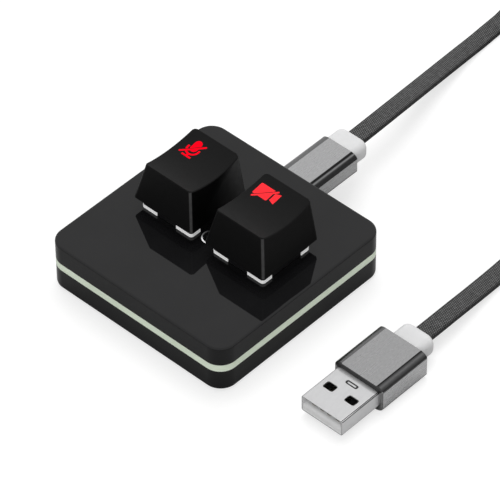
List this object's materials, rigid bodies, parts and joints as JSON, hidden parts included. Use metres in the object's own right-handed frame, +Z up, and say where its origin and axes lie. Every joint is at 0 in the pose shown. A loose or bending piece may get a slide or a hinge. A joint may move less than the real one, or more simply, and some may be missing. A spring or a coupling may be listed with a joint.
{
  "type": "two_key_usb_mute_button",
  "caption": "Square gloss-black desk puck with a pale light strip, sprung keyboard keys that mute a microphone and switch off a camera, and a flat woven USB-A cable in a tied coil.",
  "frame": {"origin": "under the middle of the square body, on the surface that it stands on", "axes": "+Z up; +Y towards the side that the cable leaves; the keys stand side by side along X, and the front of the body faces -Y"},
  "size_m": [0.0834, 0.2, 0.0268],
  "materials": {
    "gloss_black": "mirror-gloss moulded plastic",
    "strip": "translucent pale green plastic that glows when lit",
    "rubber": "soft black rubber",
    "steel": "plain plated steel",
    "board": "green solder mask",
    "chip": "black moulded compound",
    "small_parts": "ceramic chips",
    "lamp": "clear lamp body",
    "bezel": "bright turned ring",
    "lens": "smoked clear plastic",
    "keycap": "fine-grained black plastic",
    "legend": "red inlay",
    "stem": "self-lubricating red plastic",
    "switch_white": "white moulded plastic",
    "switch_cover": "black moulded plastic",
    "contact": "gold-plated contact metal",
    "plug_core": "black moulded core",
    "grip": "brushed dark anodised sleeve",
    "collar": "milky white translucent plastic",
    "cable": "woven dark grey jacket over a flat cable",
    "tie": "black hook-and-loop strap",
    "plug_shell": "nickel-plated sheet steel",
    "insulator": "white moulded insulator"
  },
  "bodies": {
    "case": {"top_shell": "gloss_black", "light_strip": "strip", "bottom_shell": "gloss_black", "rubber_feet": "rubber", "case_screws": "steel", "circuit_board": "board", "controller_chip": "chip", "board_parts": "small_parts", "side_lights": "lamp", "status_bezel": "bezel", "status_lens": "lens", "status_light": "lamp", "socket_shell": "steel", "socket_tongue": "chip", "left_spring": "steel", "left_switch_base": "switch_white", "left_switch_cover": "switch_cover", "left_contacts": "contact", "left_key_light": "lamp", "right_spring": "steel", "right_switch_base": "switch_white", "right_switch_cover": "switch_cover", "right_contacts": "contact", "right_key_light": "lamp", "back_plug_tip": "steel", "back_plug_core": "plug_core", "back_plug_grip": "grip", "back_plug_collar": "collar", "cable_near": "cable", "cable_coil": "cable", "coil_tie": "tie", "cable_far": "cable", "usb_plug_collar": "collar", "usb_plug_grip": "grip", "usb_plug_core": "plug_core", "usb_plug_shell": "plug_shell", "usb_plug_tongue": "insulator", "usb_plug_contacts": "contact"},
    "left_key": {"left_keycap": "keycap", "left_legend": "legend", "left_stem": "stem"},
    "right_key": {"right_keycap": "keycap", "right_legend": "legend", "right_stem": "stem"}
  },
  "joints": [
    {"name": "left_press", "type": "slide", "parent": "case", "child": "left_key", "axis": [0, 0, -1], "range_m": [0, 0.0026], "stiffness_N_per_m": 150, "springref_m": -0.003, "deforming": ["left_spring"]},
    {"name": "right_press", "type": "slide", "parent": "case", "child": "right_key", "axis": [0, 0, -1], "range_m": [0, 0.0026], "stiffness_N_per_m": 150, "springref_m": -0.003, "deforming": ["right_spring"]}
  ]
}
